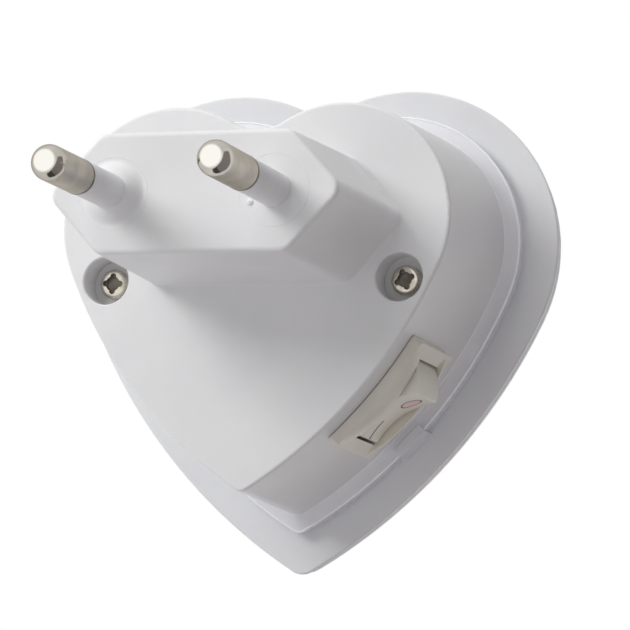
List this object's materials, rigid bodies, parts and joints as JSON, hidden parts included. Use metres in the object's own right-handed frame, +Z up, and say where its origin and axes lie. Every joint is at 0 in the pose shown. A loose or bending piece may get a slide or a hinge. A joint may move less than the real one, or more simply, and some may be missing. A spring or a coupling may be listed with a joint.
{
  "type": "plug-in night light",
  "caption": "Heart-shaped plug-in night light: hollow white housing with a round-pin plug block and a rocker switch in its flank, clear collar and milky domed shade lit from inside.",
  "frame": {"origin": "middle of the plug's face, between the pins", "axes": "+Y into the wall along the pins, +Z up with the heart's lobes on top, the light shines towards -Y"},
  "size_m": [0.0604, 0.0725, 0.0581],
  "materials": {
    "housing_white": "glossy moulded white",
    "nickel": "bright nickel plating",
    "sleeve_white": "satin white sleeve",
    "clamp_plastic": "moulded off-white",
    "screw_nickel": "nickel-plated steel",
    "clear_plastic": "clear bluish moulding",
    "shade_milky": "glossy milky white",
    "carrier_white": "satin reflector white",
    "board_laminate": "paper laminate, light brown",
    "led_lens": "clear epoxy",
    "film_capacitor": "dipped red-brown",
    "capacitor_sleeve": "black shrink sleeve",
    "rectifier_black": "moulded epoxy",
    "resistor_body": "lacquered",
    "switch_cream": "moulded cream",
    "switch_base_black": "moulded phenolic",
    "plunger_plastic": "acetal",
    "spring_steel": "spring wire",
    "contact_brass": "stamped brass",
    "lead_red": "insulated wire",
    "lead_blue": "insulated wire"
  },
  "bodies": {
    "body": {"rear_housing": "housing_white", "plug_pin_left": "nickel", "plug_pin_right": "nickel", "pin_sleeve_left": "sleeve_white", "pin_sleeve_right": "sleeve_white", "pin_clamp": "clamp_plastic", "clamp_screw": "screw_nickel", "housing_screws": "screw_nickel", "clear_collar": "clear_plastic", "shade_rear": "shade_milky", "shade_dome": "shade_milky", "carrier_plate": "carrier_white", "board_screws": "screw_nickel", "circuit_board": "board_laminate", "led_1": "led_lens", "led_2": "led_lens", "led_3": "led_lens", "dropper_capacitor": "film_capacitor", "smoothing_capacitor": "capacitor_sleeve", "bridge_rectifier": "rectifier_black", "bleed_resistor": "resistor_body", "surge_resistor": "resistor_body", "switch_case": "switch_cream", "switch_base": "switch_base_black", "common_terminal": "contact_brass", "throw_terminal": "contact_brass", "live_lead": "lead_red", "switched_lead": "lead_red", "neutral_lead": "lead_blue"},
    "rocker": {"switch_rocker": "switch_cream", "plunger_spring": "spring_steel"},
    "plunger": {"switch_plunger": "plunger_plastic"},
    "seesaw": {"contact_seesaw": "contact_brass"}
  },
  "joints": [
    {"name": "rocker_tilt", "type": "hinge", "parent": "body", "child": "rocker", "pos_m": [-0.01313, -0.02707, -0.01797], "axis": [0.0282, 0.9993, 0.0232], "range_deg": [0, 34]},
    {"name": "seesaw_flip", "type": "hinge", "parent": "body", "child": "seesaw", "pos_m": [-0.00826, -0.0273, -0.01395], "axis": [0.0282, 0.9993, 0.0232], "range_deg": [-14, 0]},
    {"name": "plunger_slide", "type": "slide", "parent": "rocker", "child": "plunger", "axis": [-0.5522, 0.0349, -0.833], "range_m": [0, 0.0004], "stiffness_N_per_m": 300, "deforming": ["plunger_spring"]}
  ],
  "couplings": [
    {"joint": "seesaw_flip", "follows": "rocker_tilt", "ratio": -0.4117}
  ]
}
